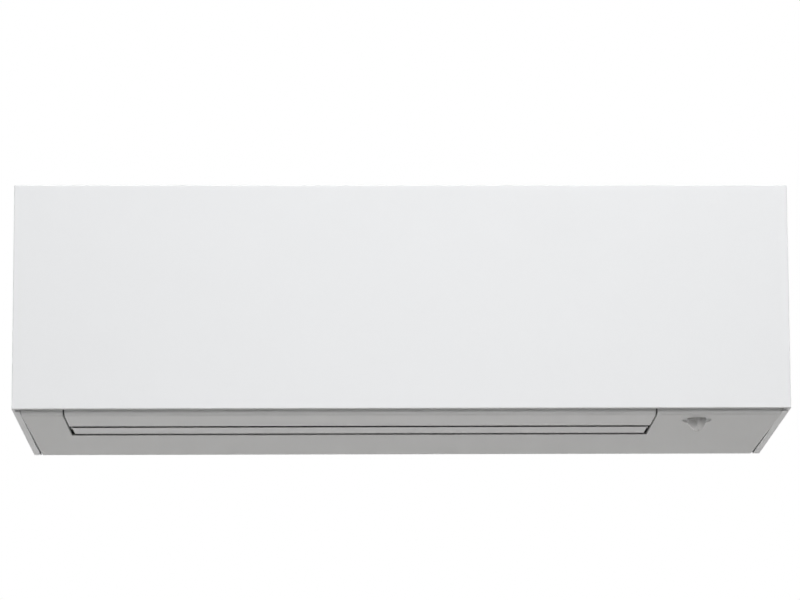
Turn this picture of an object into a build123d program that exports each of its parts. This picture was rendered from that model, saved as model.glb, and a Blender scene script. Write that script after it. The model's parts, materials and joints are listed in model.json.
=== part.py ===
from build123d import *
import os
from math import asin, atan2, cos, degrees, hypot, pi, radians, sin, tan

# Indoor unit of a split air conditioner, hung on a wall. Millimetres.
# X runs to the right seen from the room, Y into the wall, Z up.
# The origin is the centre of the wall plate's wall face, so the room side has negative Y.

# ---- outside sizes ----
unit_width = 840.0
unit_height = 282.0
unit_depth = 219.0
underside_drop = 39.0      # the side covers' fall from the panel's foot to the wall edge
lip_drop = 5.5             # the underside cover's front under the panel's foot
side_width = 7.0           # visible thickness of a side cover
side_groove = 1.8          # groove between a side cover and the underside cover
groove_depth = 4.5         # floor of that groove above the side cover's bottom edge
groove_top = 6.4
shell = 2.5                # wall of the large mouldings
top_step = 1.0             # the casing's top lies this far under the panel's top edge
wall_gap = 0.5             # casing rim to wall
seat = 0.3                 # clearance between seated pieces
pin_clearance = 0.1        # radial clearance of a pin in its hole
half = unit_width / 2
top_z = unit_height / 2
bottom_z = -unit_height / 2
front_y = -unit_depth
foot_z = bottom_z + underside_drop
casing_top = top_z - top_step
cover_half = half - side_width - side_groove
casing_half = half - side_width - seat
rim_y = -wall_gap
slope = atan2(underside_drop - lip_drop, unit_depth)

# ---- front panel ----
panel_skin = 3.0
panel_lip = 12.0
panel_seam = 1.5
panel_rib = 6.0
panel_rib_width = 2.0
panel_ribs_x = 7
hinge_back = 24.0          # hinge axis behind the panel's face
hinge_down = 6.5           # hinge axis under the panel's top edge
hinge_pin_r = 3.0
arm_width = 5.0
arm_inset = 24.5           # arm's outer cheek from the unit's end
bond = 0.1                 # glue between the panel and its rim
panel_edge_r = 1.2
lip_y = front_y + panel_skin + 3.0         # front of the flap's lip
casing_y = front_y + panel_lip + panel_seam

# ---- underside ----
lip_radius = 8.0
lip_rise = 1.5             # top of the flap's lip above the panel's foot
cover_rise = 4.0           # top of the underside cover's walls above the panel's foot
cover_end_radius = 2.0
cover_rear_rim = 6.0

# ---- air outlet ----
outlet_left = 54.0 - half
outlet_right = half - 144.0
outlet_rear = 111.0        # depth of the outlet's rear edge behind the unit's front
flap_rear = 62.5           # rear edge of the front flap, from the unit's front
slat_front = 71.5
slat_rear = 106.4
slat_recess_front = 0.1
slat_recess_rear = 1.0
slat_edge = 0.5            # thickness at the slat's two thin edges
outlet_edge = 0.6          # thickness of the underside cover at the outlet's rear edge
flap_end_gap = 1.8
slat_end_gap = 3.8
flap_pivot_depth = 50.0    # pivot axis behind the unit's front
slat_pivot_depth = 98.0
pivot_height = 7.0         # pivot axes above the underside's face
outlet_rear_y = front_y + outlet_rear
flap_left = outlet_left + flap_end_gap
flap_right = outlet_right - flap_end_gap
flap_pin_r = 2.5
flap_pin_length = 9.5

# ---- fan and scroll ----
back_y = -11.0             # the chassis back's wall side
fan_r = 45.0
scroll_end_r = fan_r + 24.0                # scroll radius where it meets the straight wall
fan_y = back_y - scroll_end_r - 4.0
fan_z = (foot_z + top_z) / 2 - 25.5
fan_inner_r = fan_r - 11.0
fan_blades = 32
fan_sections = 4
blade_thickness = 1.3
blade_lean = 26.0          # degrees the blade's outer edge runs ahead of its inner edge
fan_end_gap = 9.0
fan_disc = 2.0
scroll_start = 66.0        # degrees above the rear horizontal
scroll_gap = 5.0           # running gap at the start of the scroll
exit_lift = 5.95           # the duct wall's lower end above the underside
end_wall = 3.0
end_wall_r = fan_r + 7.0
shaft_r = 4.0
bearing_r = 11.0
bearing_width = 7.0
holder_r = 15.0

# ---- vanes ----
vane_groups = 2
vanes_per_group = 5
vane_t = 1.6
vane_height = 58.0
vane_pin_r = 2.5
vane_pivot = 46.0          # pivot distance up the duct from the outlet's rear edge
vane_arm = 24.0            # link pin's distance from the pivot
vane_base_t = 6.0
link_pin_r = 1.5
link_width = 6.0
link_t = 3.0

# ---- heat exchanger ----
slab_t = 25.0
slab_y = front_y + 49.0    # middle of the front packs' lower end
slab_long = 92.0
slab_low = 82.0
tube_r = 3.5
tube_pitch = 21.0
tube_rows = 12.7
plate_t = 1.2
fins_left = outlet_left + 5.0
fins_right = outlet_right - 5.0

# ---- filters ----
filter_t = 2.4
filter_mesh_t = 0.6
filter_y = casing_y + 7.0
filter_foot_z = foot_z + 58.0
filter_top_z = top_z - 17.5
filter_bend_r = 33.5
filter_back_y = -60.0
filter_ribs = 4
filter_lift = 8.0
bay_left = outlet_left - 14.0
bay_right = outlet_right + 14.0
bay_post = 10.0            # post between the two filter bays
bay_foot_z = filter_foot_z - 6.0
bay_head_z = top_z - 21.0
bay_gap = 2.0              # filter's edge to the bay's edge

# ---- top grille ----
grille_rows = 11
grille_bar = 3.0
grille_front = 18.0        # solid band behind the casing's front edge
grille_back = 34.0         # solid band before the wall
grille_columns = 4         # slots across each bay

# ---- chassis ----
channel_depth = 58.0
channel_top_z = foot_z + 18.0
chassis_half = half - 15.0
chassis_top_z = top_z - 20.0
hook_x = half - 220.0
hook_width = 28.0

# ---- wall plate ----
sheet = 1.2
plate_half = half - 90.0
plate_top_z = top_z - 33.0
plate_bottom_z = bottom_z + 63.0
plate_hole_r = 2.5
plate_holes_x = 450.0
plate_holes_z = 100.0
plate_hook_y = 7.5
plate_hook_up = 6.0

# ---- pipes ----
gas_r = 4.76
liquid_r = 3.175
gas_y = -20.0
liquid_y = -44.0
pipe_drop_x = outlet_right + 13.0
pipe_run_z = channel_top_z - 21.0
gas_end_x = -60.0
liquid_end_x = -10.0
pipe_bend = 14.0
gas_flats = 22.0
liquid_flats = 17.0
gas_thread_r = 7.2
liquid_thread_r = 4.95
nut_length_factor = 1.1

# ---- drain ----
pan_left = outlet_left - 18.0
pan_right = outlet_right + 18.0
pan_foot = (casing_y + shell + 1.5, foot_z + cover_rise + 1.5)
pan_front = pan_foot[0] + 10.0
pan_rim_z = foot_z + 61.0
pan_floor_z = foot_z + 42.0
pan_back = slab_y + 23.0
pan_wall = 2.2
drain_y = slab_y - 11.0
drain_z = foot_z + 33.0
drain_r = 8.0
drain_bore_r = 6.0
drain_length = 22.0
drain_groove = 0.5         # relief at the spigot's root

# ---- electrics ----
motor_left = outlet_right + 24.0
motor_length = 52.0
motor_r = 40.0
bracket_width = 22.0
box_left = half - 62.0
box_right = half - 16.0
box_front = casing_y + 17.5
box_bottom = foot_z + 12.0
box_top = top_z - 46.0
stepper_r = 12.0
stepper_length = 17.0
stepper_offset = 9.5

# ---- sensor ----
sensor_x = half - 97.5
sensor_depth = 37.0
recess_r = 16.5
recess_dip = 3.2
lens_r = 10.0
lens_drop = 12.8
crease_lean = radians(27.0)
crease_width = 0.8

# ---- button ----
button_x = half - 102.0
button_z = foot_z + 28.0
button_r = 4.0
button_travel = 1.5

# ---- service cover and screws ----
service_x = (box_left + 2, box_right - 2)
service_z = (foot_z + 16.0, foot_z + 84.0)
screw_r = 1.7
screw_head_r = 3.8
screw_length = 13.0



def under_z(y):
    """Height of the underside cover's outer face at a depth."""
    return bottom_z - y * tan(slope)


def side_z(y):
    """Height of a side cover's bottom edge at a depth."""
    return bottom_z - y * underside_drop / unit_depth


def yz(x):
    return Plane(origin=(x, 0, 0), x_dir=(0, 1, 0), z_dir=(1, 0, 0))


def along_x(face, x0, x1):
    """A face drawn in Y and Z, drawn out along X."""
    return extrude(yz(x0) * face, amount=x1 - x0, dir=(1, 0, 0))


def prism(points, x0, x1):
    return along_x(Polygon(*points), x0, x1)


def block(x, y, z):
    """A block between three pairs of limits."""
    size = Box(abs(x[1] - x[0]), abs(y[1] - y[0]), abs(z[1] - z[0]))
    return Pos((x[0] + x[1]) / 2, (y[0] + y[1]) / 2, (z[0] + z[1]) / 2) * size


def rod_x(r, x0, x1, y, z):
    """A round bar along X."""
    return along_x(Pos(y, z) * Circle(r), x0, x1)


def rod_y(r, y0, y1, x, z):
    """A round bar along Y."""
    plane = Plane(origin=(x, y0, z), x_dir=(1, 0, 0), z_dir=(0, 1, 0))
    return extrude(plane * Circle(r), amount=y1 - y0, dir=(0, 1, 0))


def bar(p, q, t, x0, x1):
    """A flat wall between two points in Y and Z, its thickness to the left of the way p to q."""
    length = hypot(q[0] - p[0], q[1] - p[1])
    normal = (-(q[1] - p[1]) / length * t, (q[0] - p[0]) / length * t)
    corners = [p, q, (q[0] + normal[0], q[1] + normal[1]), (p[0] + normal[0], p[1] + normal[1])]
    return prism(corners, x0, x1)


def closed(points, radii):
    """A face inside straight runs with rounded corners."""
    return make_face(FilletPolyline(*points, radius=radii, close=True))


# ---- the duct's frame: t runs up the straight rear wall from its lower end, h stands off it ----
guide_end_y = outlet_rear_y + seat
guide_end = (guide_end_y, under_z(guide_end_y) + exit_lift)
guide_from_fan = hypot(fan_y - guide_end[0], fan_z - guide_end[1])
exit_rad = atan2(fan_z - guide_end[1], fan_y - guide_end[0]) - asin(scroll_end_r / guide_from_fan)
down_duct = (-cos(exit_rad), -sin(exit_rad))
off_wall = (-sin(exit_rad), cos(exit_rad))


def duct(t, h):
    """Y and Z of a point in the duct's frame."""
    y = guide_end[0] - t * down_duct[0] + h * off_wall[0]
    z = guide_end[1] - t * down_duct[1] + h * off_wall[1]
    return (y, z)


def duct_plane(x, t, h):
    """Plane across the duct at a point: its X is the unit's X, its normal stands off the wall."""
    y, z = duct(t, h)
    return Plane(origin=(x, y, z), x_dir=(1, 0, 0), z_dir=(0, off_wall[0], off_wall[1]))


def scroll_point(share, extra):
    """A point of the scroll from its start (0) to the straight wall (1)."""
    end = -degrees(atan2(off_wall[1], -off_wall[0]))
    angle = radians(scroll_start + (end - scroll_start) * share)
    start_r = fan_r + scroll_gap
    r = scroll_end_r - (scroll_end_r - start_r) * (1 - share) ** 2 + extra
    return (fan_y + r * cos(angle), fan_z + r * sin(angle))


def scroll_curve(extra):
    steps = 8
    return Spline(*[scroll_point(i / steps, extra) for i in range(steps + 1)])


def pillow(inset, top, back):
    """Outline over the underside's rounded front and its slope, drawn in by a wall."""
    front = lip_y + inset
    lift = inset / cos(slope)
    corners = [(back, top), (front, top), (front, under_z(front) + lift), (back, under_z(back) + lift)]
    return closed(corners, [0, 0, lip_radius - inset, 0])


flap_axis = (front_y + flap_pivot_depth, under_z(front_y + flap_pivot_depth) + pivot_height)
slat_axis = (front_y + slat_pivot_depth, under_z(front_y + slat_pivot_depth) + pivot_height)
hinge_axis = (front_y + hinge_back, top_z - hinge_down)
arm_x = half - arm_inset


# ---- casing ----
def front_panel():
    """The flat front: a slab with a grid of ribs behind it."""
    back = front_y + panel_skin
    side = [(front_y, top_z), (back, top_z), (back, side_z(back)), (front_y, foot_z)]
    body = prism(side, -half, half)
    body = fillet([e for e in body.edges() if abs(e.center().Y - front_y) < 0.01], panel_edge_r)
    rib_depth = (front_y + panel_skin / 2, back + panel_rib)
    inner = half - panel_skin - seat
    low = foot_z + 2 * panel_skin
    high = top_z - panel_skin - seat
    for i in range(panel_ribs_x):
        x = -half + unit_width * (i + 0.5) / panel_ribs_x
        body += block((x - panel_rib_width / 2, x + panel_rib_width / 2), rib_depth, (low, high))
    for z in (low, (low + high) / 2):
        body += block((-inner, inner), rib_depth, (z, z + panel_rib_width))
    return body


def panel_rim():
    """The rim along the panel's top and ends, with the two hinge arms."""
    front = front_y + panel_skin + bond
    back = front_y + panel_lip
    side = [(front, top_z), (back, top_z), (back, side_z(back)), (front, side_z(front))]
    inner = half - panel_skin
    rim = prism(side, -half, half)
    rim -= block((-inner, inner), (front - 1, back + 1), (bottom_z, top_z - panel_skin))
    for end in (-1, 1):
        rim += hinge_arm(end)
    return rim


def hinge_arm(end):
    """An arm from the panel's back to the hinge axis, with its pin pointing outward."""
    y, z = hinge_axis
    front = front_y + panel_skin + bond
    web = [(front, z - 12), (front, top_z - panel_skin / 2), (front + 2, top_z - panel_skin / 2)]
    web += [(y, z + hinge_pin_r + 1), (y, z - hinge_pin_r - 2)]
    x0 = end * (arm_x - arm_width)
    x1 = end * arm_x
    pin_end = end * (casing_half - shell - 1)
    arm = prism(web, min(x0, x1), max(x0, x1))
    arm += rod_x(hinge_pin_r + 2, min(x0, x1), max(x0, x1), y, z)
    return arm + rod_x(hinge_pin_r, min(x1, pin_end), max(x1, pin_end), y, z)


def side_cover(end):
    """A tray-shaped end cover whose rim is the strip seen from below."""
    corners = [(casing_y, casing_top), (rim_y, casing_top), (rim_y, side_z(rim_y))]
    corners.append((casing_y, side_z(casing_y)))
    low, high = casing_y + shell, rim_y - shell
    inside = [(low, casing_top - shell), (high, casing_top - shell),
              (high, side_z(high) + shell), (low, side_z(low) + shell)]
    inner = half - side_width
    cover = prism(corners, inner, half) - prism(inside, inner - 1, half - shell)
    for z in (-40.0, 50.0):
        cover += block((inner, half - 1), (casing_y + 1, rim_y - 1), (z, z + shell))
    cover += groove_floor(inner)
    return cover if end > 0 else mirror(cover, about=Plane.YZ)


def groove_floor(inner):
    """A tongue that closes the groove beside the underside cover, coming near the face at the wall."""
    x0 = inner - side_groove + seat
    front, stop = casing_y + shell, rim_y - shell
    points = [(front, side_z(front) + groove_depth), (stop, side_z(stop) + groove_depth)]
    points += [(stop, side_z(stop) + seat), (rim_y, side_z(rim_y) + seat), (rim_y, side_z(rim_y) + groove_top)]
    points.append((front, side_z(front) + groove_top))
    return prism(points, x0, inner + 1)


def underside_cover():
    """The sloping bottom moulding, open where the air comes out, its ends rounded up."""
    cover_top = foot_z + cover_rise
    outer = along_x(pillow(0, cover_top, rim_y), -cover_half, cover_half)
    ends = [e for e in outer.edges() if abs(abs(e.center().X) - cover_half) < 0.01
            and e.center().Z < cover_top - 0.1 and e.center().Y < rim_y - 0.1]
    outer = fillet(ends, cover_end_radius)
    inside = pillow(shell, cover_top + 1, rim_y - shell)
    cover = outer - along_x(inside, -cover_half + shell, cover_half - shell)
    cover -= block((outlet_left, outlet_right), (lip_y - 1, outlet_rear_y), (bottom_z, 0))
    edge_z = under_z(outlet_rear_y)
    bevel = [(outlet_rear_y - 1, edge_z + outlet_edge), (outlet_rear_y, edge_z + outlet_edge)]
    bevel += [(outlet_rear_y + shell, edge_z + 1.5 * shell), (outlet_rear_y - 1, edge_z + 1.5 * shell)]
    cover -= prism(bevel, outlet_left, outlet_right)
    inner_rim = cover_half - shell
    cover -= block((-inner_rim, inner_rim), (rim_y - 2 * shell, 1), (bottom_z + cover_rear_rim, 0))
    return cover - sensor_place(-1) * Cylinder(recess_r + seat, 4 * shell)


def sensor_place(way):
    """Frame on the underside's face at the sensor, Z pointing out (1) or in (-1)."""
    y = front_y + sensor_depth
    normal = (0, -way * sin(slope), -way * cos(slope))
    return Plane(origin=(sensor_x, y, under_z(y)), x_dir=(1, 0, 0), z_dir=normal)


def front_casing():
    """Front frame with the filter bays, top inlet grille and end walls."""
    base_z = foot_z + cover_rise + seat
    span = (-casing_half, casing_half)
    frame = block(span, (casing_y, casing_y + shell), (base_z, casing_top))
    for left, right in filter_bays():
        frame -= block((left, right), (casing_y - 1, casing_y + shell + 1), (bay_foot_z, bay_head_z))
        frame += block((left, right), (casing_y, filter_y + filter_t), (bay_foot_z - shell, bay_foot_z))
        ledge = (filter_y - filter_t, filter_y + filter_t)
        frame += block((left, right), ledge, (bay_foot_z - shell, filter_foot_z - seat))
    frame += top_grille()
    for end in (-1, 1):
        x0, x1 = sorted((end * casing_half, end * (casing_half - shell)))
        frame += block((x0, x1), (casing_y, rim_y), (base_z, casing_top))
        frame += hinge_ear(end)
        frame -= hinge_eye(end)
        notch = sorted((end * (arm_x - arm_width - 1), end * (arm_x + 1)))
        frame -= block(notch, (casing_y - 1, hinge_axis[0] + 9), (bay_head_z - 2, top_z))
    frame -= service_window(0)
    frame -= rod_y(button_r + 2 * pin_clearance, casing_y - 1, casing_y + shell + 1, button_x, button_z)
    for x, z in casing_screw_places():
        frame -= rod_y(screw_r + seat, casing_y - 1, casing_y + shell + 1, x, z)
    return frame


def filter_bays():
    middle = (bay_left + bay_right) / 2
    return [(bay_left, middle - bay_post / 2), (middle + bay_post / 2, bay_right)]


def top_grille():
    """The casing's top with rows of slots over the heat exchanger."""
    t = shell + 0.5
    plate = block((-casing_half, casing_half), (casing_y, rim_y), (casing_top - t, casing_top))
    plate += block((-casing_half, casing_half), (rim_y - shell, rim_y), (chassis_top_z + seat, casing_top))
    first = casing_y + grille_front
    pitch = (rim_y - grille_back - first) / grille_rows
    slots = Part()
    for left, right in filter_bays():
        width = (right - left) / grille_columns
        for column in range(grille_columns):
            x = (left + column * width + grille_bar / 2, left + (column + 1) * width - grille_bar / 2)
            for row in range(grille_rows):
                y = (first + row * pitch, first + (row + 1) * pitch - grille_bar)
                slots += block(x, y, (casing_top - t - 1, casing_top + 1))
    return plate - slots


def hinge_ear(end):
    """Bearing eye for a hinge pin, on the casing's end wall."""
    y, z = hinge_axis
    x = sorted((end * (arm_x + 1), end * (casing_half - shell / 2)))
    return block(x, (y - 6, y + 6), (z - 7, casing_top - 0.5))


def hinge_eye(end):
    """The hole that a hinge pin turns in."""
    x = sorted((end * arm_x, end * (casing_half - shell)))
    return rod_x(hinge_pin_r + pin_clearance, x[0], x[1], *hinge_axis)


def service_window(gap):
    x = (service_x[0] + gap, service_x[1] - gap)
    z = (service_z[0] + gap, service_z[1] - gap)
    return block(x, (casing_y - 1, casing_y + shell + 1), z)


def service_cover():
    """Small cover over the cable terminals, with a lug for its screw."""
    plate = block((service_x[0] + seat, service_x[1] - seat), (casing_y, casing_y + shell),
                  (service_z[0] + seat, service_z[1] - seat))
    middle = sum(service_x) / 2
    grip = block((middle - 9, middle + 9), (casing_y - 1.5, casing_y), (service_z[1] - 9, service_z[1] - 7))
    hole = rod_y(screw_r + seat, casing_y - 1, casing_y + shell + 1, *service_screw_place())
    return plate + grip - hole


def casing_screw_places():
    """X and Z of the screws that hold the front casing to the drain pan."""
    return [(x, foot_z + 22.0) for x in (bay_left + 80, (bay_left + bay_right) / 2, bay_right - 75)]


def service_screw_place():
    return (sum(service_x) / 2, service_z[0] + 10)


def one_screw(x, z):
    head = rod_y(screw_head_r, casing_y - 2, casing_y, x, z)
    cross = block((x - 0.5, x + 0.5), (casing_y - 3, casing_y - 1), (z - 2, z + 2))
    cross += block((x - 2, x + 2), (casing_y - 3, casing_y - 1), (z - 0.5, z + 0.5))
    return head - cross + rod_y(screw_r, casing_y, casing_y + screw_length, x, z)


def casing_screws():
    """The three screws of the casing and the one of the service cover."""
    return Compound(children=[one_screw(x, z) for x, z in [*casing_screw_places(), service_screw_place()]])


# ---- flap and slat ----
def flap_skin(front, back, heights, recess):
    """Aerofoil section: outer face on the underside, inner face through heights above it."""
    outer = [(front, under_z(front) + recess[0]), (back, under_z(back) + recess[1])]
    span = back - front
    inner = [(front + span * s, under_z(front + span * s) + h) for s, h in heights]
    lines = Line(outer[0], outer[1]) + Line(outer[1], inner[-1])
    lines += Spline(*inner) + Line(inner[0], outer[0])
    return make_face(lines)


def front_flap():
    """The wide flap that closes most of the outlet, its front edge curled up behind the panel."""
    back = front_y + flap_rear
    lip_top = foot_z + lip_rise
    outside = pillow(0, lip_top, back)
    inside = pillow(shell, lip_top + 1, back)
    skin = outside - inside
    low = lip_y + lip_radius
    flap_heights = [(0, 3.2), (0.45, 7.0), (0.7, 10.0), (0.88, 7.0), (1, 2.4)]
    blade = flap_skin(low, back, flap_heights, (0.01, 0.01))
    flap = along_x(skin, flap_left, flap_right) + along_x(blade, flap_left, flap_right)
    return flap + flap_pins(flap_axis)


def rear_slat():
    """The narrow slat behind the flap, set a little into the underside."""
    front = front_y + slat_front
    back = front_y + slat_rear
    tips = (slat_recess_front + slat_edge, slat_recess_rear + slat_edge)
    heights = [(0, tips[0]), (0.25, 2.4), (0.5, 5.6), (0.74, 10.0), (0.9, 6.6), (1, tips[1])]
    blade = flap_skin(front, back, heights, (slat_recess_front, slat_recess_rear))
    left, right = outlet_left + slat_end_gap, outlet_right - slat_end_gap
    return along_x(blade, left, right) + flap_pins(slat_axis)


def flap_pins(axis):
    left = rod_x(flap_pin_r, flap_left - flap_pin_length, flap_left + 4, *axis)
    return left + rod_x(flap_pin_r, flap_right - 4, flap_right + flap_pin_length, *axis)


# ---- chassis ----
def rear_chassis():
    """Back moulding: wall back, pipe channel, scroll of the fan duct and its two end walls."""
    back = back_y + shell
    right = outlet_right + 2 * end_wall
    span = (-chassis_half, chassis_half)
    body = block(span, (back_y, back), (channel_top_z - shell, chassis_top_z))
    body += block(span, (back_y, rim_y), (chassis_top_z - shell, chassis_top_z))
    for end in (-1, 1):
        x = sorted((end * chassis_half, end * (chassis_half - shell)))
        body += block(x, (back_y, rim_y), (channel_top_z - shell, chassis_top_z))
    ceiling = (channel_top_z - shell, channel_top_z)
    body += block((-chassis_half, right), (-channel_depth - shell, back), ceiling)
    channel_foot = under_z(-channel_depth - shell) + shell / cos(slope) + seat
    back = (-channel_depth - shell, -channel_depth)
    body += block((-chassis_half, right), back, (channel_foot, channel_top_z))
    body += scroll_wall()
    for x0 in (outlet_left - end_wall, outlet_right):
        body += chassis_end(x0)
    for x0 in (outlet_left + 200.0, outlet_right - 210.0):
        body += scroll_rib(x0)
    for end in (-1, 1):
        body += chassis_hook(end)
    for group in range(vane_groups):
        body += vane_base(group)
    bearing_hole = rod_x(holder_r - 3, outlet_left - end_wall - 1, outlet_left + 1, fan_y, fan_z)
    shaft_hole = rod_x(shaft_r + 2, outlet_right - 1, outlet_right + end_wall + 1, fan_y, fan_z)
    body = body - bearing_hole - shaft_hole
    for axis in (flap_axis, slat_axis):
        body -= rod_x(flap_pin_r + pin_clearance, -half, half, *axis)
    return body


def scroll_face():
    """Section of the scroll wall and the straight wall under it."""
    inner, outer = scroll_curve(0), scroll_curve(shell)
    lines = inner + Line(scroll_point(1, 0), guide_end) + Line(guide_end, duct(0, -shell))
    lines += Line(duct(0, -shell), scroll_point(1, shell)) + outer
    lines += Line(scroll_point(0, shell), scroll_point(0, 0))
    return make_face(lines)


def scroll_wall():
    """Scroll and straight wall, with the rear drip trough on its upper edge."""
    wall = along_x(scroll_face(), outlet_left - 1, outlet_right + 1)
    y, z = scroll_point(0.06, shell)
    trough = [(y - 1, z), (y + 8, z - 9), (back_y + 1, z - 9), (back_y + 1, z - 9 - shell)]
    trough += [(y + 5, z - 9 - shell), (y - 1, z - 4)]
    return wall + prism(trough, outlet_left - 1, outlet_right + 1)


def behind_scroll():
    """The space between the scroll and the back wall, in section."""
    top = scroll_point(0, shell / 2)
    foot = -channel_depth
    spots = [scroll_point(1, shell / 2), (foot, channel_top_z + 2), (foot, channel_top_z - 1)]
    spots += [(back_y + 1, channel_top_z - 1), (back_y + 1, top[1] - 14), top]
    return make_face(scroll_curve(shell / 2) + Polyline(*spots))


def scroll_rib(x):
    return along_x(behind_scroll(), x, x + shell)


def chassis_end(x0):
    """A duct end wall: a disc round the fan's end and the side of the outlet duct."""
    inside = shell / cos(slope) + seat + 0.1
    front = lip_y + panel_skin + 2 * shell
    low = [(y, under_z(y) + inside) for y in (front, -channel_depth - shell / 2)]
    corners = [(casing_y + shell + seat, foot_z + cover_rise), low[0], low[1]]
    corners += [(-channel_depth - shell / 2, channel_top_z - 1), (back_y + 1, channel_top_z - 1)]
    corners += [(back_y + 1, fan_z + 20.0), (fan_y, fan_z)]
    face = Polygon(*corners) + Pos(fan_y, fan_z) * Circle(end_wall_r)
    wall = along_x(face, x0, x0 + end_wall)
    return wall - along_x(offset(pan_section(), 0.4), x0 - 1, x0 + end_wall + 1)


def chassis_hook(end):
    """A downturned hook on the chassis back that hangs in the wall plate's hook."""
    x = (end * hook_x - hook_width / 2, end * hook_x + hook_width / 2)
    inner_y = -plate_hook_y + sheet + seat
    low = plate_top_z + sheet + seat
    top = plate_top_z + plate_hook_up + 2 * sheet + seat
    arm = block(x, (back_y + 1, -sheet - seat), (top, top + shell))
    return arm + block(x, (inner_y, -sheet - seat), (low, top + shell))


def wall_plate():
    """Sheet plate screwed to the wall, with two upturned hooks and weight-saving windows."""
    plate = block((-plate_half, plate_half), (-sheet, 0), (plate_bottom_z, plate_top_z))
    for z in (plate_bottom_z, plate_top_z - sheet):
        inner, outer = hook_x - hook_width, hook_x + hook_width
        for x in ((-plate_half, -outer), (-inner, inner), (outer, plate_half)):
            plate += block(x, (-4.0, 0), (z, z + sheet))
    for end in (-1, 1):
        x = (end * hook_x - hook_width / 2 + 2, end * hook_x + hook_width / 2 - 2)
        plate += block(x, (-plate_hook_y, 0), (plate_top_z - 0.1, plate_top_z + sheet))
        plate += block(x, (-plate_hook_y, -plate_hook_y + sheet), (plate_top_z, plate_top_z + plate_hook_up))
    for x in (-1, 1):
        for z in (-1, 1):
            plate -= rod_y(plate_hole_r, -sheet - 1, 1, x * plate_holes_x / 2, z * plate_holes_z / 2)
    for i in (-2, -1, 1, 2):
        x = i * plate_half / 3
        plate -= block((x - 35, x + 35), (-sheet - 1, 1), (-22.0, 26.0))
    return plate


# ---- drain pan ----
nose_angle = radians(205.0)
nose_r = 3.0
nose_gap = 3.2
nose_from = fan_r + nose_gap + nose_r
nose = (fan_y + nose_from * cos(nose_angle), fan_z + nose_from * sin(nose_angle))


def pan_section():
    """Outline of the front drain trough with the fan's tongue and the duct's front wall."""
    inner = pan_front + pan_wall
    corners = [(pan_front, pan_rim_z), (inner, pan_rim_z), (inner, pan_floor_z)]
    corners += [(slab_y + 2, pan_floor_z - 1.5), (pan_back - 5, pan_floor_z + 9), (pan_back, pan_rim_z + 3)]
    corners += [(nose[0] - 1, nose[1] + 5.5), (nose[0] + 5, nose[1] - 1.0), pan_foot]
    corners += [(pan_foot[0], pan_foot[1] + 6), (pan_front, pan_foot[1] + 18)]
    return closed(corners, [0, 0, 2, 3, 4, 3, nose_r, nose_r, 0, 0, 0])


def drain_pan():
    """The trough, hollow under its floor, with screw bosses and an outlet at each end."""
    pan = along_x(pan_section(), pan_left, pan_right)
    core_top = pan_floor_z - 6
    core = [(pan_front, core_top), (slab_y + 2, core_top), (slab_y + 11, core_top + 5)]
    core.append((pan_front + 4, pan_foot[1] + 11.5))
    pan -= prism(core, pan_left + pan_wall, pan_right - pan_wall)
    low = pan_floor_z - 3
    trough_end = [(pan_front, pan_rim_z), (pan_front, low), (slab_y + 10, low), (pan_back, pan_rim_z)]
    for x0 in (pan_left, pan_right - pan_wall):
        pan += prism(trough_end, x0, x0 + pan_wall)
    for x, z in casing_screw_places():
        pan += rod_y(screw_r + 3, casing_y + shell + seat, pan_foot[0] + 14, x, z)
        pan -= rod_y(screw_r + 0.05, casing_y, casing_y + screw_length + 1, x, z)
    for end, x in ((-1, pan_left), (1, pan_right)):
        x0, x1 = sorted((x - end, x + end * drain_length))
        pan += rod_x(drain_r, x0, x1, drain_y, drain_z)
        groove = rod_x(drain_r + 1, *sorted((x, x + end * drain_groove)), drain_y, drain_z)
        pan -= groove - rod_x(drain_r - 0.4, x0, x1, drain_y, drain_z)
    for end, x in ((-1, pan_left), (1, pan_right)):
        x0, x1 = sorted((x - end * (pan_wall + 1), x + end * (drain_length + 1)))
        pan -= rod_x(drain_bore_r, x0, x1, drain_y, drain_z)
    return pan



def drain_cap():
    """Plug over the outlet that is not used."""
    end = pan_left - drain_length
    cap = rod_x(drain_r + 2.5, end - 2.5, end + 12, drain_y, drain_z)
    cap -= rod_x(drain_r + seat, end - seat, end + 13, drain_y, drain_z)
    return cap


# ---- heat exchanger ----
def slabs():
    """Lower end and direction of the three fin packs' middle planes, with their lengths."""
    low = ((slab_y, foot_z + 52.0), 90.0, slab_low)
    upper = ((slab_y - 2.0, top_z - 99.0), 49.4, slab_long)
    rear = ((back_y - 19.0, top_z - 97.0), 132.4, slab_long)
    return {"front_lower": low, "front_upper": upper, "rear": rear}


def slab_point(slab, along, across):
    (y, z), angle = slab[:2]
    a = radians(angle)
    return (y + along * cos(a) - across * sin(a), z + along * sin(a) + across * cos(a))


def slab_corners(slab, grow):
    length = slab[2]
    w = slab_t / 2 + grow
    spots = [(-grow, -w), (length + grow, -w), (length + grow, w), (-grow, w)]
    return [slab_point(slab, along, across) for along, across in spots]


def fin_pack(slab):
    return prism(slab_corners(slab, 0), fins_left, fins_right)


def tube_plate(end):
    """End plate of the heat exchanger, with a tab that is screwed to the duct's end wall."""
    x0, x1 = (fins_left - plate_t, fins_left) if end < 0 else (fins_right, fins_right + plate_t)
    plate = Part()
    for slab in slabs().values():
        plate += prism(slab_corners(slab, 1.0), x0, x1)
    high = top_z - 41.0
    tab_z = fan_z + 42.0
    web = [(fan_y - 44, high - 4), (fan_y, high), (fan_y + 13, high - 20), (fan_y + 13, tab_z)]
    web += [(fan_y - 14, tab_z), (fan_y - 14, high - 34)]
    plate += prism(web, x0, x1)
    joint_z = top_z - 111.0
    joint = [(slab_y - 13, joint_z), (slab_y + 14, joint_z), (slab_y + 12, joint_z + 30), (slab_y - 10, joint_z + 16)]
    plate += prism(joint, x0, x1)
    wall = outlet_left + seat if end < 0 else outlet_right - seat
    tab_x = sorted((wall, x1 if end < 0 else x0))
    return plate + block(tab_x, (fan_y - 12, fan_y + 11), (tab_z, tab_z + 2))


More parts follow.
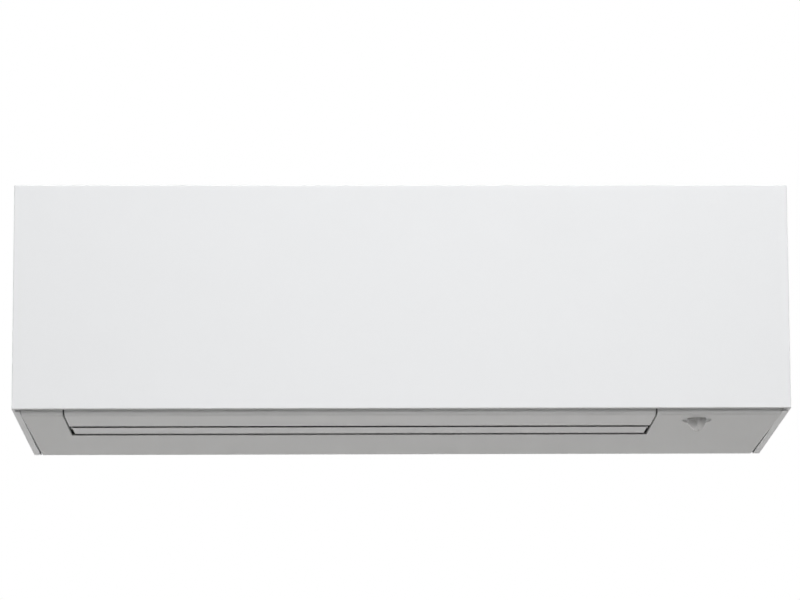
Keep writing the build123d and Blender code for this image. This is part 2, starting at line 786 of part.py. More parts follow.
def tube_spots(slab):
    """Y and Z of the tubes, row by row."""
    count = 4
    first = (slab[2] - (count - 1) * tube_pitch) / 2
    rows = []
    for across in (-tube_rows / 2, tube_rows / 2):
        rows.append([slab_point(slab, first + i * tube_pitch, across) for i in range(count)])
    return rows


def u_bend(p, q, x, way):
    """A half-turn of tube between two tube ends at a tube plate."""
    middle = ((p[0] + q[0]) / 2, (p[1] + q[1]) / 2)
    reach = hypot(q[0] - p[0], q[1] - p[1]) / 2
    along = ((q[0] - p[0]) / (2 * reach), (q[1] - p[1]) / (2 * reach))
    start = Vector(x, *p)
    stop = Vector(x, *q)
    top = Vector(x + way * reach, middle[0], middle[1])
    path = ThreePointArc(start, top, stop)
    ring = Plane(origin=start, z_dir=(way, 0, 0), x_dir=(0, along[0], along[1])) * Circle(tube_r)
    return sweep(ring, path=path)


def return_bends(end):
    """All half-turns at one end of the heat exchanger."""
    x = fins_left - plate_t if end < 0 else fins_right + plate_t
    bends = []
    for name, slab in slabs().items():
        for row, spots in enumerate(tube_spots(slab)):
            pairs = [(1, 2)] if end < 0 else [(0, 1), (2, 3)]
            if end > 0 and name == "rear" and row == 0:
                pairs = [(2, 3)]
            bends += [u_bend(spots[i], spots[j], x, end) for i, j in pairs]
    return Compound(children=bends)


def pipe(r, spot, run_y, end_x):
    """A line from a tube end, down the right bay and along the channel to its flare nut."""
    x0 = fins_right + plate_t
    points = [(x0, *spot), (pipe_drop_x, *spot), (pipe_drop_x, run_y, spot[1] - 30.0),
              (pipe_drop_x, run_y, pipe_run_z), (end_x, run_y, pipe_run_z)]
    path = FilletPolyline(*points, radius=[8.0, 12.0, pipe_bend])
    ring = Plane(origin=points[0], z_dir=(1, 0, 0)) * Circle(r)
    return sweep(ring, path=path)


def gas_pipe():
    return pipe(gas_r, tube_spots(slabs()["rear"])[0][0], gas_y, gas_end_x)


def liquid_pipe():
    return pipe(liquid_r, tube_spots(slabs()["rear"])[0][1], liquid_y, liquid_end_x)


def flare_nut(r, thread_r, flats, end_x, y):
    """A six-sided union nut over the pipe's end, open towards the mating pipe."""
    length = flats * nut_length_factor
    hexagon = Pos(y, pipe_run_z) * RegularPolygon(flats / 2, 6, major_radius=False)
    nut = along_x(hexagon, end_x - length * 0.55, end_x + length * 0.45)
    nut -= rod_x(r + 0.05, end_x - length, end_x + length, y, pipe_run_z)
    return nut - rod_x(thread_r, end_x - length, end_x, y, pipe_run_z)


def pipe_holder():
    """Plastic comb on the channel's ceiling that holds both pipes."""
    x = (outlet_right - 126.0, outlet_right - 108.0)
    body = block(x, (liquid_y - 8, gas_y + 9), (pipe_run_z - 5, channel_top_z - shell - seat))
    for r, y in ((gas_r, gas_y), (liquid_r, liquid_y)):
        body -= rod_x(r + 0.1, x[0] - 1, x[1] + 1, y, pipe_run_z)
        body -= block((x[0] - 1, x[1] + 1), (y - r * 0.8, y + r * 0.8), (pipe_run_z - 6, pipe_run_z))
    middle = (liquid_y + gas_y) / 2
    return body - block((x[0] - 1, x[1] + 1), (middle - 5, middle + 5), (pipe_run_z - 6, channel_top_z - 14))


# ---- fan ----
def blade_face(step):
    """Crescent section of one blade, by its place round the fan."""
    base = 360.0 * step / fan_blades
    inner = radians(base)
    outer = radians(base + blade_lean / 2.6)
    mid = radians(base + blade_lean * 0.08)
    r_mid = (fan_inner_r + fan_r) / 2
    edge = 1.2

    def spot(r, a, push):
        y = fan_y + r * cos(a) - push * sin(a)
        return (y, fan_z + r * sin(a) + push * cos(a))

    r0, r1 = fan_inner_r + edge, fan_r - edge / 2
    low = [spot(r0, inner, 0), spot(r_mid, mid, 0), spot(r1, outer, 0)]
    high = [spot(r1, outer, 0.5), spot(r_mid, mid, blade_thickness), spot(r0, inner, 0.5)]
    lines = ThreePointArc(*low) + Line(low[2], high[0]) + ThreePointArc(*high) + Line(high[2], low[0])
    return make_face(lines)


def cross_flow_fan():
    """Blades between ring discs, with closed discs and hubs at the ends."""
    x0 = outlet_left + fan_end_gap
    x1 = outlet_right - fan_end_gap
    blades = [along_x(blade_face(i), x0 + fan_disc / 2, x1 - fan_disc / 2) for i in range(fan_blades)]
    ring = Pos(fan_y, fan_z) * (Circle(fan_r) - Circle(fan_inner_r))
    fan = Part() + blades
    for i in range(1, fan_sections):
        x = x0 + (x1 - x0) * i / fan_sections
        fan += along_x(ring, x - fan_disc / 2, x + fan_disc / 2)
    for x, way in ((x0, 1), (x1 - fan_disc, -1)):
        fan += rod_x(fan_r, x, x + fan_disc, fan_y, fan_z)
        hub = sorted((x + fan_disc / 2, x + fan_disc / 2 + way * 14))
        fan += rod_x(12.0, hub[0], hub[1], fan_y, fan_z)
        fan -= rod_x(shaft_r, hub[0] - 3, hub[1] + 3, fan_y, fan_z)
    return fan


def fan_stub():
    """Steel stub in the fan's left hub, running in the bearing."""
    x0 = outlet_left + fan_end_gap
    return rod_x(shaft_r, outlet_left - end_wall - 8, x0 + 14, fan_y, fan_z)


def motor_shaft():
    x1 = outlet_right - fan_end_gap
    return rod_x(shaft_r, x1 - 14, motor_left + 16, fan_y, fan_z)


def fan_bearing():
    x0 = outlet_left - end_wall - bearing_width / 2 + 1
    bush = rod_x(bearing_r, x0, x0 + bearing_width, fan_y, fan_z)
    return bush - rod_x(shaft_r + 0.05, x0 - 1, x0 + bearing_width + 1, fan_y, fan_z)


def bearing_holder():
    """Rubber ring with a flange that holds the bearing in the left end wall."""
    x0 = outlet_left - end_wall - bearing_width / 2 + 1
    ring = rod_x(holder_r - 3 - 0.1, x0, x0 + bearing_width, fan_y, fan_z)
    inner = outlet_left - end_wall - seat
    ring += rod_x(holder_r + 2, inner - 3, inner, fan_y, fan_z)
    return ring - rod_x(bearing_r + 0.05, x0 - 3, x0 + bearing_width + 3, fan_y, fan_z)


def fan_motor():
    """Round motor with a ribbed shell and a nose ring, bored for the shaft."""
    end = motor_left + motor_length
    body = rod_x(motor_r, motor_left + 6, end - 6, fan_y, fan_z)
    body += rod_x(motor_r - 6, motor_left + 2, end - 2, fan_y, fan_z)
    body += rod_x(14.0, motor_left, end, fan_y, fan_z)
    return body - rod_x(shaft_r + 0.1, motor_left - 1, motor_left + 17, fan_y, fan_z)


def motor_bracket():
    """Ring clamp round the motor on two arms from the chassis back."""
    x = (motor_left + 14, motor_left + 14 + bracket_width)
    ring = rod_x(motor_r + 4, x[0], x[1], fan_y, fan_z)
    for z in (fan_z - 36, fan_z + 28):
        ring += block(x, (fan_y + 14, back_y - seat), (z, z + 8))
    foot = block(x, (back_y - seat - 4, back_y - seat), (fan_z - 44, fan_z + 44))
    return ring + foot - rod_x(motor_r + 0.3, x[0] - 1, x[1] + 1, fan_y, fan_z)


def stepper(axis):
    """Small geared motor outside the duct's right end wall, its output on a flap's pin."""
    x0 = outlet_right + end_wall + seat
    lift = (axis[0] + stepper_offset * sin(slope), axis[1] + stepper_offset * cos(slope))
    body = rod_x(stepper_r, x0, x0 + stepper_length, *lift)
    body += rod_x(flap_pin_r + 1.4, x0, x0 + 6, *axis)
    ears = SlotOverall(2 * stepper_r + 14, 7.0, rotation=-degrees(slope))
    ears = along_x(Pos(*lift) * ears, x0, x0 + 1.5)
    return body + ears - rod_x(flap_pin_r + pin_clearance, x0 - 1, x0 + 12, *axis)


# ---- vanes ----
def vane_x(group, i):
    count = vane_groups * vanes_per_group
    return outlet_left + (outlet_right - outlet_left) * (group * vanes_per_group + i + 0.5) / count


def vane(group, i):
    """An upright blade on a pivot pin, with a link pin on its top edge."""
    x = vane_x(group, i)
    base = vane_base_t + seat + 0.4
    outline = [(66.0, base), (44.0, vane_height), (6.0, vane_height), (14.0, base)]
    corners = [duct(t, h) for t, h in outline]
    blade = along_x(closed(corners, [6.0, 8.0, 8.0, 6.0]), x - vane_t / 2, x + vane_t / 2)
    upward = (Align.CENTER, Align.CENTER, Align.MIN)
    foot = duct_plane(x, vane_pivot, base) * Cylinder(5.0, 2.0, align=upward)
    pin = duct_plane(x, vane_pivot, seat + 0.6)
    pin = pin * Cylinder(vane_pin_r, base, align=upward)
    top = duct_plane(x, vane_pivot - vane_arm, vane_height - 2)
    link_pin = top * Cylinder(link_pin_r, link_t + 3.5, align=upward)
    body = blade + foot + pin + link_pin
    if i == vanes_per_group // 2:
        body += vane_knob(x)
    return body


def vane_knob(x):
    """Finger tab at the middle vane's outlet edge."""
    corners = [duct(t, h) for t, h in ((20.0, 30.0), (20.0, 42.0), (7.0, 42.0), (7.0, 30.0))]
    return prism(corners, x - 3.0, x + 3.0)


def link_rod(group):
    """Flat rod over the link pins of one group, with wider holes than its leader's."""
    first, last = vane_x(group, 0), vane_x(group, vanes_per_group - 1)
    middle = (first + last) / 2
    plane = duct_plane(middle, vane_pivot - vane_arm, vane_height + seat + 0.2)
    rod = extrude(plane * SlotOverall(last - first + 2 * link_width, link_width), amount=link_t)
    for i in range(vanes_per_group):
        leader = i == vanes_per_group // 2
        hole = link_pin_r + (pin_clearance if leader else 3 * pin_clearance)
        spot = duct_plane(vane_x(group, i), vane_pivot - vane_arm, vane_height - 1)
        rod -= spot * Cylinder(hole, 4 * link_t)
    return rod


def vane_base(group):
    """Strip on the duct's rear wall with a boss and hole for each vane of one group."""
    first, last = vane_x(group, 0), vane_x(group, vanes_per_group - 1)
    width = 16.0
    sunk = shell / 2
    plane = duct_plane((first + last) / 2, vane_pivot, -sunk)
    strip = extrude(plane * Rectangle(last - first + width, width), amount=sunk + 2.4)
    upward = (Align.CENTER, Align.CENTER, Align.MIN)
    for i in range(vanes_per_group):
        spot = duct_plane(vane_x(group, i), vane_pivot, -sunk)
        strip += spot * Cylinder(6.0, vane_base_t + sunk, align=upward)
    for i in range(vanes_per_group):
        spot = duct_plane(vane_x(group, i), vane_pivot, seat)
        strip -= spot * Cylinder(vane_pin_r + pin_clearance, 2 * vane_base_t, align=upward)
    return strip


# ---- filters ----
def filter_band(t, foot, back):
    """Section of a filter: up behind the panel, round and back under the grille."""
    outer_r = filter_bend_r + t / 2
    inner_r = filter_bend_r - t / 2
    y, z = filter_y, filter_top_z
    cy, cz = y + filter_bend_r, z - filter_bend_r
    turn = sin(pi / 4)
    lines = Line((y - t / 2, foot), (y - t / 2, cz))
    lines += ThreePointArc((y - t / 2, cz), (cy - outer_r * turn, cz + outer_r * turn), (cy, z + t / 2))
    lines += Line((cy, z + t / 2), (back, z + t / 2)) + Line((back, z + t / 2), (back, z - t / 2))
    lines += Line((back, z - t / 2), (cy, z - t / 2))
    lines += ThreePointArc((cy, z - t / 2), (cy - inner_r * turn, cz + inner_r * turn), (y + t / 2, cz))
    lines += Line((y + t / 2, cz), (y + t / 2, foot)) + Line((y + t / 2, foot), (y - t / 2, foot))
    return make_face(lines)


def air_filter(side):
    """Flexible net in a ribbed frame, with a finger tab at its foot."""
    left, right = filter_bays()[side]
    left, right = left + bay_gap, right - bay_gap
    rib = 6.0
    band = filter_band(filter_t, filter_foot_z, filter_back_y)
    net = along_x(filter_band(filter_mesh_t, filter_foot_z, filter_back_y), left, right)
    for i in range(filter_ribs + 1):
        x = left + (right - left - rib) * i / filter_ribs
        net += along_x(band, x, x + rib)
    half_t = filter_t / 2
    for z in (filter_foot_z, filter_foot_z + 66.0, filter_foot_z + 128.0):
        net += block((left, right), (filter_y - half_t, filter_y + half_t), (z, z + rib))
    for y in (filter_back_y - rib, (filter_back_y + filter_y) / 2):
        net += block((left, right), (y, y + rib), (filter_top_z - half_t, filter_top_z + half_t))
    middle = (left + right) / 2
    tab_y = (filter_y - half_t - 3.5, filter_y)
    tab = block((middle - 18, middle + 18), tab_y, (filter_foot_z + 1, filter_foot_z + 3.4))
    return net + tab


# ---- electrics ----
def control_box():
    """Open-fronted box at the right that reaches back to the chassis."""
    back = back_y - seat
    box = block((box_left, box_right), (box_front, back), (box_bottom, box_top))
    inner_x = (box_left + shell, box_right - shell)
    inside = block(inner_x, (box_front - 1, back - shell), (box_bottom + shell, box_top - shell))
    return box - inside


def control_box_cover():
    """Lid on the control box with a folded rim."""
    y = box_front - seat
    lid = block((box_left, box_right), (y - 1.5, y), (-10.0, box_top))
    low = block((box_left, box_right), (y - 1.5, y), (box_bottom, -6.0 - 78.0))
    bridge = block((box_left, box_left + 4), (y - 1.5, y), (box_bottom, -8.0))
    bridge += block((box_right - 4, box_right), (y - 1.5, y), (box_bottom, -8.0))
    return lid + low + bridge


def main_board():
    """Circuit board on the box's left wall with its larger components."""
    x = box_left + shell + 5
    back = back_y - seat - shell - seat
    board = block((x, x + 1.6), (box_front + 14, back), (box_bottom + 12, box_top - 10))
    face = x + 1.6
    parts = [((-120.0, -92.0), (30.0, 62.0), 20.0), ((-80.0, -62.0), (36.0, 54.0), 16.0),
             ((-160.0, -140.0), (-10.0, 16.0), 14.0), ((-110.0, -84.0), (-60.0, -40.0), 18.0),
             ((-60.0, -36.0), (-30.0, -6.0), 12.0)]
    for y, z, tall in parts:
        board += block((face - 0.5, face + tall), y, z)
    for y, z in ((-150.0, 50.0), (-134.0, 50.0), (-70.0, 8.0)):
        board += rod_x(5.0, face - 0.5, face + 22.0, y, z)
    return board


def terminal_block():
    """Five screw terminals in a row behind the service cover."""
    y = (box_front - 6, box_front + 12)
    z = (service_z[0] + 22, service_z[1] - 6)
    x = (box_left + 10, box_right - 5)
    body = block(x, y, z)
    pitch = (z[1] - z[0]) / 5
    for i in range(5):
        middle = z[0] + (i + 0.5) * pitch
        body -= block((x[0] + 2, x[1] - 2), (y[0] - 1, y[0] + 4), (middle - 3, middle + 3))
        body += rod_y(2.4, y[0] + 1, y[0] + 5, (x[0] + x[1]) / 2, middle)
    shelf = block((box_left + shell + seat, x[0] + 1), (y[0] + 10, y[1]), (z[0] + 4, z[1] - 4))
    return body + shelf


def cable_clamp():
    """Saddle that would grip the connecting cable below the terminals."""
    middle = sum(service_x) / 2
    z = service_z[0] + 14
    y = box_front - seat - 1.5 - seat
    foot = block((middle - 17, middle + 17), (y - 2, y), (z - 22, z - 15))
    arch = block((middle - 9, middle + 9), (y - 7, y), (z - 22, z - 15))
    return foot + arch - block((middle - 6, middle + 6), (y - 5, y + 1), (z - 23, z - 14))


def receiver_board():
    """Small board behind the front frame that carries the switch and the signal receiver."""
    y = casing_y + shell + 6
    board = block((button_x - 22, button_x + 30), (y, y + 1.6), (button_z - 10, button_z + 10))
    for x in (button_x - 18, button_x + 26):
        board += rod_y(2.0, casing_y + shell + seat, y + 1, x, button_z)
    board += block((button_x + 8, button_x + 16), (y - 4.5, y + 0.5), (button_z - 4, button_z + 4))
    return board + block((button_x - 3, button_x + 3), (y - 1.5, y + 0.5), (button_z - 3, button_z + 3))


def manual_button():
    """Round push button in the front frame with a flange behind it."""
    cap = rod_y(button_r, casing_y - 1.8, casing_y + shell + 1, button_x, button_z)
    flange = rod_y(button_r + 1.4, casing_y + shell + seat, casing_y + shell + 1.4, button_x, button_z)
    return cap + flange


def thermistor():
    """Sensing bulb in a clip on the heat exchanger's front face."""
    slab = slabs()["front_upper"]
    y, z = slab_point(slab, slab_long - 30, slab_t / 2 + seat)
    up = radians(slabs()["front_upper"][1] + 90)
    out = (cos(up), sin(up))
    centre = (y + 4.5 * out[0], z + 4.5 * out[1])
    x = (fins_right - 40.0, fins_right - 16.0)
    bulb = rod_x(2.5, x[0] - 5, x[1] + 5, *centre)
    clip = rod_x(4.3, x[0], x[1], *centre)
    across = slab_t / 2 + seat
    foot = bar(slab_point(slab, slab_long - 38, across), slab_point(slab, slab_long - 22, across), 1.6, *x)
    return bulb + clip + foot


# ---- motion sensor ----
def sensor_bezel():
    """Dished ring flush with the underside, with a collar that holds the lens."""
    back = -shell - 3
    outer = recess_r + 2.2
    profile = [(recess_r, 0), (recess_r, back + 2), (outer, back + 2), (outer, back), (lens_r + seat, back)]
    profile += [(lens_r + seat, -recess_dip), (recess_r - 1.5, -recess_dip + 0.5), (recess_r - 0.9, 0)]
    face = Plane.XZ * Polygon(*profile)
    ring = revolve(face, Axis.Z, 360)
    return sensor_place(1) * ring


def sensor_lens():
    """Pointed dome hanging below the underside, with a flat at its left and a crease beside it."""
    upward = (Align.CENTER, Align.CENTER, Align.MIN)
    base = Pos(0, 0, -shell - 3) * Cylinder(lens_r, shell + 4, align=upward)
    spots = [(lens_r, 1.0), (lens_r * 0.86, lens_drop * 0.42), (lens_r * 0.46, lens_drop * 0.82), (0, lens_drop)]
    face = make_face(Spline(*spots) + Polyline(spots[-1], (0, 0.8), (lens_r, 0.8), spots[0]))
    dome = revolve(Plane.XZ * face, Axis.Z, 360)
    flat = Plane(origin=(-lens_r * 0.62, lens_r * 0.42, lens_drop * 0.3), z_dir=(-0.62, 0.72, 0.30))
    dome -= flat * Box(4 * lens_r, 4 * lens_r, lens_r, align=upward)
    crease = Plane(origin=(-lens_r * 0.42, 0, 1.0), z_dir=(-cos(crease_lean), 0, sin(crease_lean)))
    cut = crease * Box(4 * lens_r, 4 * lens_r, crease_width)
    dome -= (cut & dome) - scale(dome, 0.9)
    hollow = Pos(0, 0, -shell - 4) * Cylinder(lens_r - 2, shell + 5, align=upward)
    return sensor_place(1) * (base + dome - hollow)


def sensor_element():
    """Metal can on a round board above the lens."""
    board = Pos(0, 0, -shell - 5) * Cylinder(lens_r + 4, 1.6, align=(Align.CENTER, Align.CENTER, Align.MIN))
    can = Pos(0, 0, -shell - 3.6) * Cylinder(4.6, 4.2, align=(Align.CENTER, Align.CENTER, Align.MIN))
    return sensor_place(1) * (board + can)


def build():
    """Every piece by its name."""
    pieces = {
        "front_panel": front_panel(),
        "panel_rim": panel_rim(),
        "side_cover_left": side_cover(-1),
        "side_cover_right": side_cover(1),
        "underside_cover": underside_cover(),
        "front_casing": front_casing(),
        "service_cover": service_cover(),
        "casing_screws": casing_screws(),
        "front_flap": front_flap(),
        "rear_slat": rear_slat(),
        "rear_chassis": rear_chassis(),
        "wall_plate": wall_plate(),
        "drain_pan": drain_pan(),
        "drain_cap": drain_cap(),
        "tube_plate_left": tube_plate(-1),
        "tube_plate_right": tube_plate(1),
        "return_bends_left": return_bends(-1),
        "return_bends_right": return_bends(1),
        "gas_pipe": gas_pipe(),
        "liquid_pipe": liquid_pipe(),
        "gas_nut": flare_nut(gas_r, gas_thread_r, gas_flats, gas_end_x, gas_y),
        "liquid_nut": flare_nut(liquid_r, liquid_thread_r, liquid_flats, liquid_end_x, liquid_y),
        "pipe_holder": pipe_holder(),
        "cross_flow_fan": cross_flow_fan(),
        "fan_stub": fan_stub(),
        "motor_shaft": motor_shaft(),
        "fan_bearing": fan_bearing(),
        "bearing_holder": bearing_holder(),
        "fan_motor": fan_motor(),
        "motor_bracket": motor_bracket(),
        "flap_motor": stepper(flap_axis),
        "slat_motor": stepper(slat_axis),
        "air_filter_left": air_filter(0),
        "air_filter_right": air_filter(1),
        "control_box": control_box(),
        "control_box_cover": control_box_cover(),
        "main_board": main_board(),
        "terminal_block": terminal_block(),
        "cable_clamp": cable_clamp(),
        "receiver_board": receiver_board(),
        "manual_button": manual_button(),
        "thermistor": thermistor(),
        "sensor_bezel": sensor_bezel(),
        "sensor_lens": sensor_lens(),
        "sensor_element": sensor_element(),
    }
    for name, slab in slabs().items():
        pieces["fin_pack_" + name] = fin_pack(slab)
    for group in range(vane_groups):
        side = ("left", "right")[group]
        pieces["link_rod_" + side] = link_rod(group)
        for i in range(vanes_per_group):
            pieces[f"vane_{side}_{i + 1}"] = vane(group, i)
    return pieces


pieces = build()
os.makedirs("parts", exist_ok=True)
for name, shape in pieces.items():
    export_step(shape, f"parts/{name}.step")
print(len(pieces), "pieces")
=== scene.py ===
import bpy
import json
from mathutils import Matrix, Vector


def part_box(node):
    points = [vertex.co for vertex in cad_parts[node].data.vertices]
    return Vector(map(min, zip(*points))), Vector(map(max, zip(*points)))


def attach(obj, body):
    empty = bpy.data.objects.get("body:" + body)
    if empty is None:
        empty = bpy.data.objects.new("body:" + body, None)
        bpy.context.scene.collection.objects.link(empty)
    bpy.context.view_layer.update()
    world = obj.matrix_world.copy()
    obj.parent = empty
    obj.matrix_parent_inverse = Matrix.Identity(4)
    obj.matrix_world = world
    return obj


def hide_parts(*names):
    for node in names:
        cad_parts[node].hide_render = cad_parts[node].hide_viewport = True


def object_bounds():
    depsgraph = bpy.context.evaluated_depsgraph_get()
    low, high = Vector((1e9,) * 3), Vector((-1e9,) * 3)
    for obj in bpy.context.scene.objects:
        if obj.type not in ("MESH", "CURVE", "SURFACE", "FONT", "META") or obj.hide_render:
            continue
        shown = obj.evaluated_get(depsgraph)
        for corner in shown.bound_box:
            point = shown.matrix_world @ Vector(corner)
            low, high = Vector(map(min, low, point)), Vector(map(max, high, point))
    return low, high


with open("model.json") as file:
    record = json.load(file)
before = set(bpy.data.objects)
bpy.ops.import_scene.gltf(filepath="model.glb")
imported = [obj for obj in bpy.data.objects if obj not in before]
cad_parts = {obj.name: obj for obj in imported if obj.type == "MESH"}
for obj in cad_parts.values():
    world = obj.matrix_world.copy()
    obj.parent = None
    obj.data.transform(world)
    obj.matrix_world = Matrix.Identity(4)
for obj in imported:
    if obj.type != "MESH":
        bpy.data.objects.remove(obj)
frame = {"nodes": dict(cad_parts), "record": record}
cad_box = [list(corner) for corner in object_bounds()]

import json
import math

import bpy
import bmesh
from mathutils import Matrix, Vector

nodes = frame["nodes"]
slots = {s["node"]: s["material_slot"] for s in frame["record"]["subparts"]}

# ---- the photograph's view ----
photo_width = 800.0
focal_pixels = 2600.0
camera_place = (-0.0727, -3.0143, -0.2861)
camera_pitch = 6.153
camera_yaw = -1.437
camera_roll = -0.205

# ---- studio ----
floor_drop = 0.9           # floor under the unit
floor_reach = 9.0
floor_dark = (0.86, 0.845, 0.825, 1.0)
floor_pale = (0.88, 0.865, 0.845, 1.0)
ambient = 0.02             # light of the world on the object
floor_glow = 0.42          # added to the floor for camera, mirror and see-through rays alone
white = (1.0, 1.0, 1.0, 1.0)


# ---- shader helpers ----
class Shader:
    """A node material with short calls for its usual parts. Scales are in metres."""

    def __init__(self, name):
        self.mat = bpy.data.materials.new(name)
        self.mat.use_nodes = True
        self.tree = self.mat.node_tree
        self.bsdf = self.tree.nodes["Principled BSDF"]
        self.coords = self.add("ShaderNodeTexCoord")

    def add(self, kind, **settings):
        node = self.tree.nodes.new(kind)
        for key, value in settings.items():
            setattr(node, key, value)
        return node

    def link(self, out, into):
        self.tree.links.new(out, into)

    def put(self, socket, value):
        self.bsdf.inputs[socket].default_value = value

    def noise(self, size, detail=2.0, stretch=(1.0, 1.0, 1.0)):
        """Noise with blobs of about a size, stretched by axis."""
        place = self.add("ShaderNodeMapping")
        place.inputs["Scale"].default_value = [k / size for k in stretch]
        self.link(self.coords.outputs["Object"], place.inputs["Vector"])
        noise = self.add("ShaderNodeTexNoise")
        noise.inputs["Scale"].default_value = 1.0
        noise.inputs["Detail"].default_value = detail
        self.link(place.outputs["Vector"], noise.inputs["Vector"])
        return noise.outputs["Fac"]

    def ramp(self, value, low, high, into_low, into_high):
        ramp = self.add("ShaderNodeMapRange")
        limits = {"From Min": low, "From Max": high, "To Min": into_low, "To Max": into_high}
        for socket, number in limits.items():
            ramp.inputs[socket].default_value = number
        self.link(value, ramp.inputs["Value"])
        return ramp.outputs["Result"]

    def mix(self, factor, a, b):
        mix = self.add("ShaderNodeMix", data_type="RGBA")
        for socket, value in (("A", a), ("B", b)):
            target = [s for s in mix.inputs if s.name == socket and s.type == "RGBA"][0]
            if hasattr(value, "is_output"):
                self.link(value, target)
            else:
                target.default_value = value
        if hasattr(factor, "is_output"):
            self.link(factor, mix.inputs["Factor"])
        else:
            mix.inputs["Factor"].default_value = factor
        return [s for s in mix.outputs if s.type == "RGBA"][0]

    def bump(self, height, strength, distance, normal=None):
        bump = self.add("ShaderNodeBump")
        bump.inputs["Strength"].default_value = strength
        bump.inputs["Distance"].default_value = distance
        self.link(height, bump.inputs["Height"])
        if normal:
            self.link(normal, bump.inputs["Normal"])
        return bump.outputs["Normal"]

    def rounded(self, radius):
        edge = self.add("ShaderNodeBevel", samples=4)
        edge.inputs["Radius"].default_value = radius
        return edge.outputs["Normal"]

    def finish(self, normal):
        self.link(normal, self.bsdf.inputs["Normal"])
        return self.mat


def rgba(colour, factor=1.0):
    return (colour[0] * factor, colour[1] * factor, colour[2] * factor, 1.0)


def moulded(name, colour, rough, grain, depth, edge=0.0006, cloud=0.02, coat=0.0):
    """Moulded plastic: a fine spark-eroded grain, slow flow clouding and slightly uneven gloss."""
    s = Shader(name)
    clouding = s.noise(0.09, 3.0, (1.0, 1.0, 1.6))
    s.link(s.mix(clouding, rgba(colour, 1.0 - cloud), rgba(colour)), s.bsdf.inputs["Base Color"])
    s.link(s.ramp(s.noise(0.06, 1.0), 0.1, 0.9, rough - 0.02, rough + 0.02), s.bsdf.inputs["Roughness"])
    s.put("IOR", 1.49)
    if coat:
        s.put("Coat Weight", coat)
        s.put("Coat Roughness", 0.12)
    return s.finish(s.bump(s.noise(grain, 2.0), 0.35, depth, s.rounded(edge)))


def sheet_zinc(name, colour):
    """Galvanised sheet: angular zinc flowers, each with its own tone and gloss."""
    s = Shader(name)
    place = s.add("ShaderNodeTexVoronoi", feature="F1")
    place.inputs["Scale"].default_value = 240.0
    s.link(s.coords.outputs["Object"], place.inputs["Vector"])
    tone = s.add("ShaderNodeRGBToBW")
    s.link(place.outputs["Color"], tone.inputs["Color"])
    s.link(s.mix(tone.outputs["Val"], rgba(colour, 0.9), rgba(colour, 1.05)), s.bsdf.inputs["Base Color"])
    s.link(s.ramp(tone.outputs["Val"], 0.0, 1.0, 0.34, 0.52), s.bsdf.inputs["Roughness"])
    s.put("Metallic", 1.0)
    return s.finish(s.bump(s.noise(0.0016), 0.12, 0.0002, s.rounded(0.0003)))


def metal(name, colour, rough, along, tarnish=None, spots=0.012):
    """Drawn or turned metal: fine streaks along its working direction and a patchy tarnish."""
    s = Shader(name)
    patches = s.ramp(s.noise(spots, 4.0), 0.42, 0.68, 0.0, 1.0)
    s.link(s.mix(patches, rgba(colour), rgba(tarnish or colour, 0.82)), s.bsdf.inputs["Base Color"])
    streaks = s.noise(0.0009, 2.0, along)
    s.link(s.ramp(streaks, 0.3, 0.7, rough - 0.06, rough + 0.1), s.bsdf.inputs["Roughness"])
    s.put("Metallic", 1.0)
    return s.finish(s.bump(streaks, 0.15, 0.0001, s.rounded(0.0003)))


def rubber(name, colour):
    s = Shader(name)
    dust = s.ramp(s.noise(0.006, 4.0), 0.45, 0.75, 0.0, 1.0)
    s.link(s.mix(dust, rgba(colour), rgba(colour, 1.9)), s.bsdf.inputs["Base Color"])
    s.put("Roughness", 0.72)
    return s.finish(s.bump(s.noise(0.0008, 3.0), 0.3, 0.0002, s.rounded(0.0006)))


def board(name, colour):
    """Circuit board lacquer with darker and lighter copper tracks under it."""
    s = Shader(name)
    tracks = s.add("ShaderNodeTexBrick", offset=0.37, squash=0.6)
    layout = {"Scale": 150.0, "Mortar Size": 0.012, "Brick Width": 0.7, "Row Height": 0.22}
    for socket, number in layout.items():
        tracks.inputs[socket].default_value = number
    turn = s.add("ShaderNodeMapping")
    turn.inputs["Rotation"].default_value = (0.0, math.radians(90.0), math.radians(90.0))
    s.link(s.coords.outputs["Object"], turn.inputs["Vector"])
    s.link(turn.outputs["Vector"], tracks.inputs["Vector"])
    tracks.inputs["Color1"].default_value = rgba(colour)
    tracks.inputs["Color2"].default_value = rgba(colour, 0.82)
    tracks.inputs["Mortar"].default_value = rgba(colour, 1.7)
    s.link(tracks.outputs["Color"], s.bsdf.inputs["Base Color"])
    s.put("Roughness", 0.34)
    return s.finish(s.bump(tracks.outputs["Fac"], 0.2, 0.0001, s.rounded(0.0002)))


def milky(name, colour):
    """Lens plastic that lets light into its surface."""
    s = Shader(name)
    s.link(s.mix(s.noise(0.01, 2.0), rgba(colour, 0.97), rgba(colour)), s.bsdf.inputs["Base Color"])
    s.put("Subsurface Weight", 1.0)
    s.put("Subsurface Radius", (0.012, 0.012, 0.012))
    s.put("Subsurface Scale", 1.0)
    s.link(s.ramp(s.noise(0.004, 3.0), 0.3, 0.7, 0.16, 0.24), s.bsdf.inputs["Roughness"])
    s.put("IOR", 1.5)
    return s.finish(s.bump(s.noise(0.0012, 2.0), 0.08, 0.0001, s.rounded(0.0004)))


